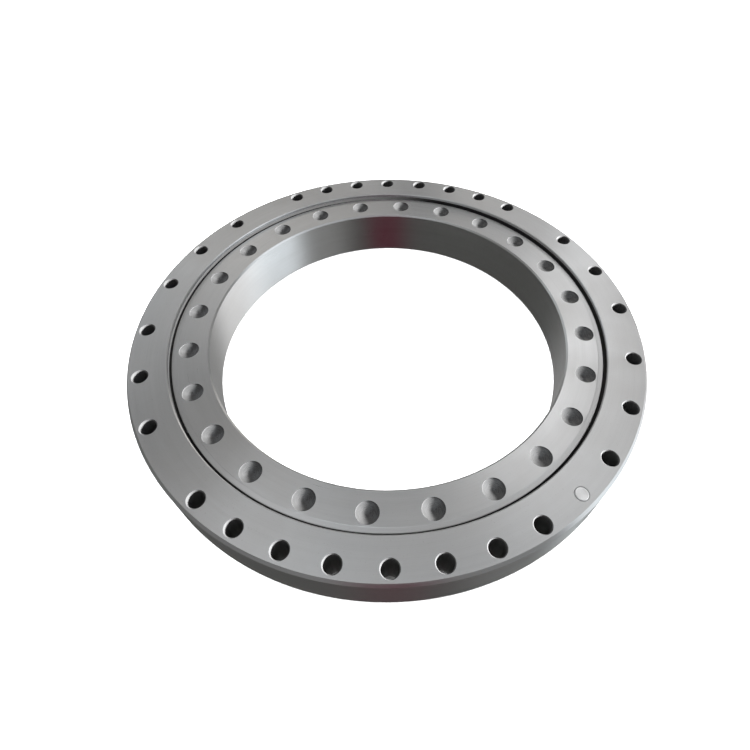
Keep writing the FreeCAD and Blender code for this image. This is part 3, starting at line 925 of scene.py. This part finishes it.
# The balls, their spacers and the loading plug stay the CAD's own meshes, with a finer material.
chrome, spacer_nylon = chrome_steel(), nylon()
for node_name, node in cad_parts.items():
    if node_name.startswith("ball_spacers"):
        painted(node, spacer_nylon)
    elif node_name.startswith("ball_"):
        painted(node, chrome)
    elif node_name == "loading_plug":
        painted(node, plug_steel)


# ---------------------------------------------------------------- stage, light and camera

# The camera stands 3.8 degrees round from the bearing's -Y axis, and the room turns with it.
YAW = 3.8
WHITE, WARM, COOL = (1, 1, 1), (1, 0.96, 0.9), (0.9, 0.96, 1)

# Watts of the lamp over the floor and of the one at the window.
FLOOR_POWER = 1100.0
WINDOW_POWER = 1500.0

# The room's own light, from its floor up to its walls.
ROOM_LOW, ROOM_HIGH = (0.085, 0.085, 0.08, 1), (0.25, 0.25, 0.25, 1)

# A dull red patch in front of the bearing: azimuth, half width, elevation, half height, edge.
RED_PATCH = (272, 12, 0, 60, 8)
DULL_RED = (0.10, 0.015, 0.03, 1)

# Light panels as seen from the bearing, in degrees: azimuth and half width, elevation and
# half height, soft edge. Then strength and colour.
PANELS = [
    (-8, 20, 0, 50, 8, 1.35, COOL),  # tall window on the right
    (28, 20, -25, 20, 8, 1.3, WHITE),  # sunlit floor by that window
    (68, 13, 54, 8, 4, 2.2, WHITE),  # lamp at the back
    (76, 7, 8, 14, 3, 1.7, WARM),  # window below that lamp
    (64, 7, 40, 8, 3, 1.2, WHITE),  # small lamp under the back lamp
    (318, 18, -32, 24, 10, 0.25, WHITE),  # floor at the front right
    (105, 14, 37, 6, 3, 0.9, WARM),  # strip of light to the left of the back lamp
    (142, 22, 14, 24, 6, 0.55, COOL),  # windows at the back left
    (138, 18, 68, 8, 5, 0.9, WHITE),  # ceiling, back left
    (245, 70, 76, 12, 6, 1.6, COOL),  # ceiling over the camera
    (335, 30, 60, 16, 8, 0.65, COOL),  # its glow on the right
    (60, 60, -30, 30, 10, 0.25, WHITE),  # floor at the back
]


def plain(name, shade, glow=0.0):
    """A plain white material for the stage, not part of the object."""
    material = bpy.data.materials.new(name)
    material.use_nodes = True
    shader = material.node_tree.nodes["Principled BSDF"]
    shader.inputs["Base Color"].default_value = grey(shade)
    shader.inputs["Roughness"].default_value = 0.9
    shader.inputs["Specular IOR Level"].default_value = 0.0
    shader.inputs["Emission Color"].default_value = grey(1)
    shader.inputs["Emission Strength"].default_value = glow
    return material


def make_stage():
    """A white floor, which is given back, and a white dome behind it that only the camera sees."""
    reach, top, underside = 9, -0.5 * MM, -5 * MM
    floor_profile = [(0, top), (reach, top), (reach, underside), (0, underside)]
    floor = new_object("floor", turned(floor_profile, 96))
    painted(floor, plain("floor_white", 0.9))
    floor.visible_glossy = False
    dome_radius, rows, steps = 8.9, 24, 64
    dome_profile = []
    for angle in np.linspace(-0.05, 1.5, rows):
        dome_profile.append((dome_radius * math.cos(angle), dome_radius * math.sin(angle)))
    dome_profile.append((1 * MM, dome_radius))
    verts, faces = turned(dome_profile, steps)
    # The last row of faces would close the dome from its top back to its foot, so it is left out.
    inward = [face[::-1] for face in faces[: steps * rows]]
    dome = new_object("backdrop", (verts, inward))
    painted(dome, plain("backdrop_white", 0.0, 1.0))
    dome.visible_glossy = False
    dome.visible_diffuse = False
    dome.visible_shadow = False
    dome.visible_transmission = False
    return floor


def make_lamp(name, azimuth, elevation, distance, size, power):
    """A broad lamp that only dull surfaces show: metal doesn't mirror it."""
    data = bpy.data.lights.new(name, "AREA")
    data.shape = "DISK"
    data.size = size
    data.energy = power
    lamp = bpy.data.objects.new(name, data)
    turn, tilt = math.radians(azimuth + YAW), math.radians(elevation)
    way = Vector((math.cos(turn) * math.cos(tilt), math.sin(turn) * math.cos(tilt), math.sin(tilt)))
    lamp.location = way * distance
    lamp.rotation_euler = way.to_track_quat("Z", "Y").to_euler()
    lamp.visible_glossy = False
    bpy.context.scene.collection.objects.link(lamp)
    return lamp


def link_light(lamp, group_name, floor, state):
    """INCLUDE makes the lamp light the floor alone, EXCLUDE everything but the floor."""
    group = bpy.data.collections.new(group_name)
    group.objects.link(floor)
    lamp.light_linking.receiver_collection = group
    group.collection_objects[0].light_linking.link_state = state


def patch(g, way, height, azimuth, half_width, elevation, half_height, edge):
    """1 inside a soft-edged rectangle of directions, 0 outside it. All in degrees."""
    spin = g.tree.nodes.new("ShaderNodeVectorRotate")
    spin.rotation_type = "Z_AXIS"
    g.fill(spin.inputs["Vector"], way)
    spin.inputs["Angle"].default_value = -math.radians(azimuth + YAW)
    x, y = g.split(spin.outputs[0])[:2]
    bearing = g.math("ARCTAN2", y, x)
    off = g.math("ABSOLUTE", g.math("MULTIPLY", bearing, 180 / math.pi))
    rise = g.math("ABSOLUTE", g.math("SUBTRACT", height, float(elevation)))
    fade = (1.0, 0.0)
    return g.math(
        "MULTIPLY",
        g.spread(off, (half_width - edge, half_width + edge), fade, "SMOOTHSTEP"),
        g.spread(rise, (half_height - edge, half_height + edge), fade, "SMOOTHSTEP"),
    )


def make_world():
    """Broad soft panels around a dim grey room, mirrored by metal and lighting dull surfaces."""
    g = Graph(bpy.data.worlds.new("room"), "Background")
    bpy.context.scene.world = g.owner
    way = g.add("ShaderNodeTexCoord", output="Generated")
    height = g.math("MULTIPLY", g.math("ARCSINE", g.split(way)[2]), 180 / math.pi)
    light = g.mix(g.spread(height, (-20.0, 10.0), (0.0, 1.0)), ROOM_LOW, ROOM_HIGH)
    light = g.mix(patch(g, way, height, *RED_PATCH), light, DULL_RED)
    for azimuth, half_width, elevation, half_height, edge, strength, colour in PANELS:
        mask = patch(g, way, height, azimuth, half_width, elevation, half_height, edge)
        glow = tuple(strength * part for part in colour)
        light = g.vector("ADD", g.vector("SCALE", glow, None, None, mask), light)
    g.fill(g.shader.inputs["Color"], light)


def make_camera():
    """The photograph's view: looking 50 degrees down, from a little over a metre away."""
    look_down, roll_angle = 50, 0.43
    data = bpy.data.cameras.new("camera")
    data.lens, data.sensor_width = 24.41, 36
    data.shift_x, data.shift_y = -0.0281, -0.0507
    data.clip_start, data.clip_end = 0.01, 100
    camera = bpy.data.objects.new("camera", data)
    yaw = Matrix.Rotation(math.radians(YAW), 4, "Z")
    place = Matrix.Translation((0.0151, -0.6480, 0.8285))
    tilt = Matrix.Rotation(math.radians(90 - look_down), 4, "X")
    roll = Matrix.Rotation(math.radians(roll_angle), 4, "Z")
    camera.matrix_world = yaw @ place @ tilt @ roll
    bpy.context.scene.collection.objects.link(camera)
    bpy.context.scene.camera = camera


stage_floor = make_stage()
overhead = make_lamp(
    "overhead", azimuth=0, elevation=90, distance=4.0, size=9.0, power=FLOOR_POWER
)
link_light(overhead, "floor_only", stage_floor, "INCLUDE")
window = make_lamp(
    "from_the_window", azimuth=-5, elevation=15, distance=3.0, size=0.6, power=WINDOW_POWER
)
link_light(window, "all_but_floor", stage_floor, "EXCLUDE")
make_world()
make_camera()
bpy.context.scene.view_settings.view_transform = "Standard"
